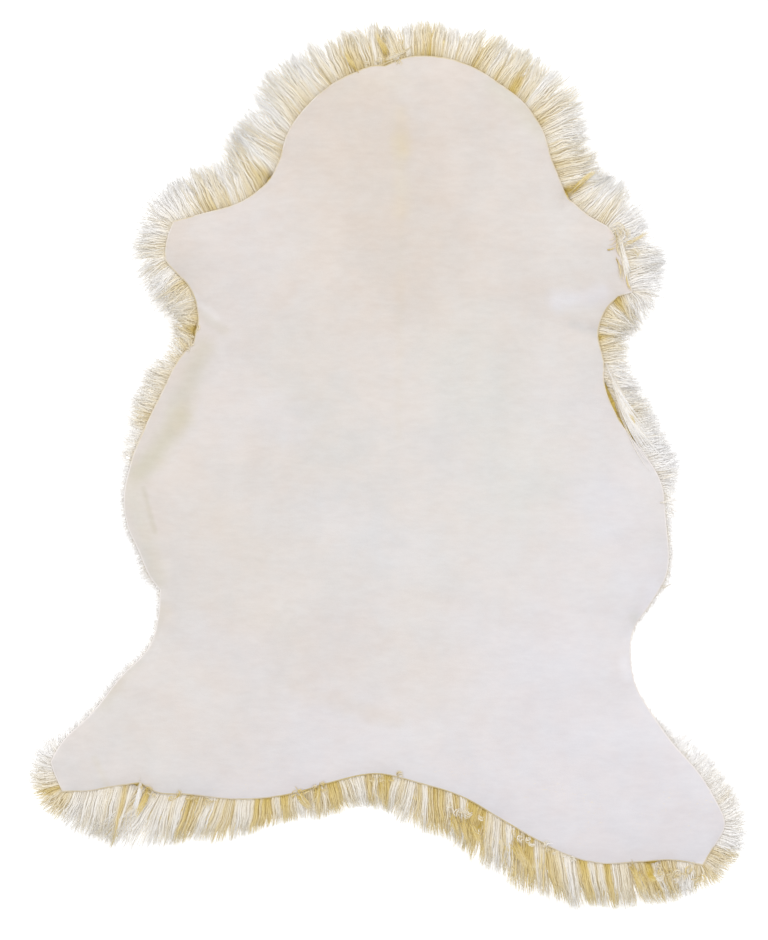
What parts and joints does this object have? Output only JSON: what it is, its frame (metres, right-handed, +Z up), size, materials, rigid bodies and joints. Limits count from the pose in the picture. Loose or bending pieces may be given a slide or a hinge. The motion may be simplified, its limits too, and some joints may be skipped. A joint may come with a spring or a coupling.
{
  "type": "sheepskin rug",
  "caption": "Natural-shape sheepskin rug laid wool side down, with its suede leather face up and a wool fringe showing past the cut edge.",
  "frame": {"origin": "centre of the rug's overall box, on the surface it lies on", "axes": "+Y from the hind legs to the neck, +X to the right seen from above with the neck away, +Z up out of the leather face"},
  "size_m": [0.8002, 1.0002, 0.0457],
  "materials": {
    "hide": "pale cream-pink suede, fully matte",
    "fleece": "cream-white wool with golden roots, soft and matte"
  },
  "bodies": {
    "root": {"hide": "hide", "fleece": "fleece"}
  },
  "joints": []
}
